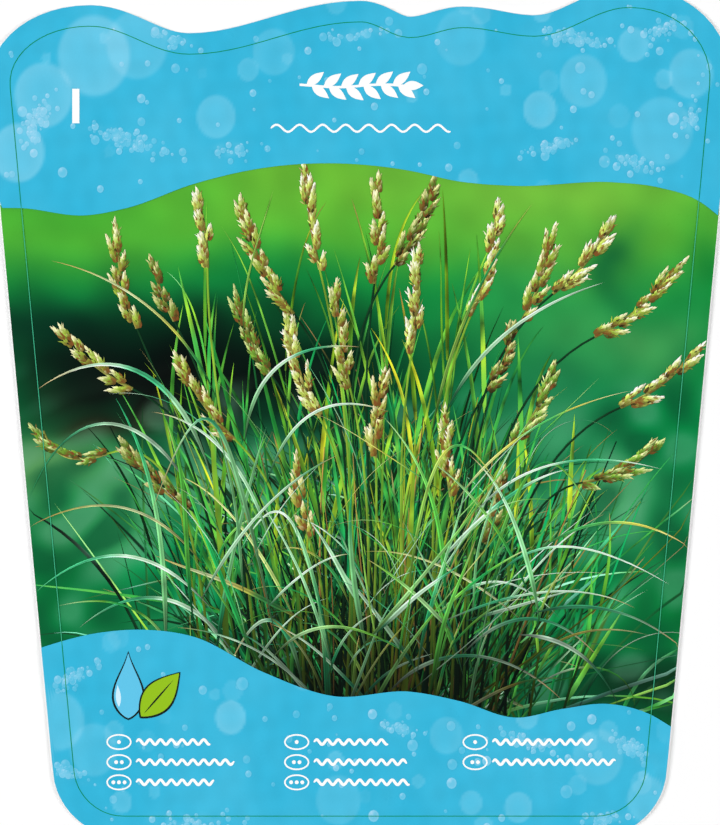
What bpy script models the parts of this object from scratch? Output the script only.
"""A flat, die-cut plastic plant label with a wavy top edge and sides that taper towards the foot.

The label is one sheet. It lies on its back: +Z is the printed face, +Y points to the label's top,
and the origin is the middle of the back.
"""

from math import cos, pi, radians

import bmesh
import bpy
from mathutils import Vector

MM = 0.001

# The sheet
THICKNESS = 0.5 * MM
EDGE_ROUNDING = 0.08 * MM
EDGE_ROUNDING_STEPS = 2

# The trim line, which runs all round the sheet at a print bleed's distance inside its edge
BLEED = 3.0 * MM
TRIM_FOOT_WIDTH = 78.3 * MM
SIDE_LEAN = 0.0933          # how far a side leans outwards for each unit of height
FOOT_CORNER_REACH = 6.25 * MM
LEFT_SHOULDER_DROP = 8.5 * MM
RIGHT_SHOULDER_DROP = 10.8 * MM

# Crests and dips of the trim line's top edge, from left to right: the distance from the label's
# middle line, and the height above the foot
TOP_WAVE = [
    (-37.5 * MM, 109.8 * MM),
    (-23.8 * MM, 105.9 * MM),
    (0.1 * MM, 110.4 * MM),
    (6.9 * MM, 108.2 * MM),
    (14.4 * MM, 109.6 * MM),
    (24.3 * MM, 108.4 * MM),
    (37.5 * MM, 112.4 * MM),
]

# How finely the curves are drawn
WAVE_STEPS = 12
CORNER_STEPS = 12
ROUND_HANDLE = 0.5523       # a cubic curve with handles of this share follows a quarter circle


def wave_between(start, end):
    """Points from one crest or dip to the next: the height follows half a cosine."""
    points = []
    for step in range(WAVE_STEPS):
        share = step / WAVE_STEPS
        ease = (1 - cos(pi * share)) / 2
        along = start.x + (end.x - start.x) * share
        up = start.y + (end.y - start.y) * ease
        points.append(Vector((along, up)))
    return points


def rounded_corner(start, tip, end):
    """Points of a cubic curve that leaves start towards tip and arrives at end from tip."""
    first_handle = start.lerp(tip, ROUND_HANDLE)
    last_handle = end.lerp(tip, ROUND_HANDLE)
    points = []
    for step in range(CORNER_STEPS + 1):
        share = step / CORNER_STEPS
        rest = 1 - share
        point = start * rest ** 3
        point += first_handle * (3 * rest ** 2 * share)
        point += last_handle * (3 * rest * share ** 2)
        point += end * share ** 3
        points.append(point)
    return points


def side_point(side, height):
    """The point of the left (-1) or right (+1) side's straight line at a height over the foot."""
    return Vector((side * (TRIM_FOOT_WIDTH / 2 + SIDE_LEAN * height), height))


def foot_corner(side):
    """A lower corner, drawn from the foot up to the side."""
    tip = side_point(side, 0)
    on_foot = Vector((tip.x - side * FOOT_CORNER_REACH, 0))
    on_side = side_point(side, FOOT_CORNER_REACH)
    return rounded_corner(on_foot, tip, on_side)


def shoulder(side, crest, drop):
    """An upper corner, drawn from the side up to the crest it ends on."""
    tip = side_point(side, crest.y)
    on_side = side_point(side, crest.y - drop)
    return rounded_corner(on_side, tip, crest)


def trim_line():
    """The closed trim line as points, counter-clockwise from the foot's right-hand end."""
    crests = [Vector(point) for point in TOP_WAVE]
    points = foot_corner(1)
    points += shoulder(1, crests[-1], RIGHT_SHOULDER_DROP)[:-1]
    for here, following in zip(reversed(crests[1:]), reversed(crests[:-1])):
        points += wave_between(here, following)
    points += reversed(shoulder(-1, crests[0], LEFT_SHOULDER_DROP))
    points += reversed(foot_corner(-1))
    return points


def moved_outwards(points, distance):
    """The same closed outline at a distance outside: each corner moves along its bisector."""
    moved = []
    for index, point in enumerate(points):
        before = (point - points[index - 1]).normalized()
        after = (points[(index + 1) % len(points)] - point).normalized()
        out_before = Vector((before.y, -before.x))
        out_after = Vector((after.y, -after.x))
        bisector = (out_before + out_after).normalized()
        moved.append(point + bisector * (distance / bisector.dot(out_before)))
    return moved


def centred(points):
    """The outline with the middle of its bounding box at the origin."""
    middle_x = (min(point.x for point in points) + max(point.x for point in points)) / 2
    middle_y = (min(point.y for point in points) + max(point.y for point in points)) / 2
    return [point - Vector((middle_x, middle_y)) for point in points]


def white_plastic():
    """Opaque white polypropylene sheet with a satin face."""
    material = bpy.data.materials.new("label_plastic")
    material.use_nodes = True
    shader = material.node_tree.nodes["Principled BSDF"]
    shader.inputs["Base Color"].default_value = (0.86, 0.87, 0.86, 1.0)
    shader.inputs["Roughness"].default_value = 0.38
    shader.inputs["Metallic"].default_value = 0.0
    return material


def label_sheet():
    """The sheet: its outline raised by the thickness, with both rims slightly rounded."""
    outline = centred(moved_outwards(trim_line(), BLEED))
    mesh = bpy.data.meshes.new("label_sheet")
    shape = bmesh.new()
    corners = [shape.verts.new((point.x, point.y, 0)) for point in outline]
    back = shape.faces.new(corners)
    raised = bmesh.ops.extrude_face_region(shape, geom=[back])
    front_corners = [item for item in raised["geom"] if isinstance(item, bmesh.types.BMVert)]
    bmesh.ops.translate(shape, verts=front_corners, vec=(0, 0, THICKNESS))
    bmesh.ops.recalc_face_normals(shape, faces=shape.faces)
    shape.to_mesh(mesh)
    shape.free()
    mesh.materials.append(white_plastic())

    sheet = bpy.data.objects.new("label_sheet", mesh)
    bpy.context.scene.collection.objects.link(sheet)
    rims = sheet.modifiers.new("rounded_rims", "BEVEL")
    rims.limit_method = "ANGLE"
    rims.angle_limit = radians(45)
    rims.width = EDGE_ROUNDING
    rims.segments = EDGE_ROUNDING_STEPS
    mesh.shade_smooth()
    mesh.set_sharp_from_angle(angle=radians(30))
    return sheet


for leftover in list(bpy.data.objects):
    bpy.data.objects.remove(leftover, do_unlink=True)
label_sheet()
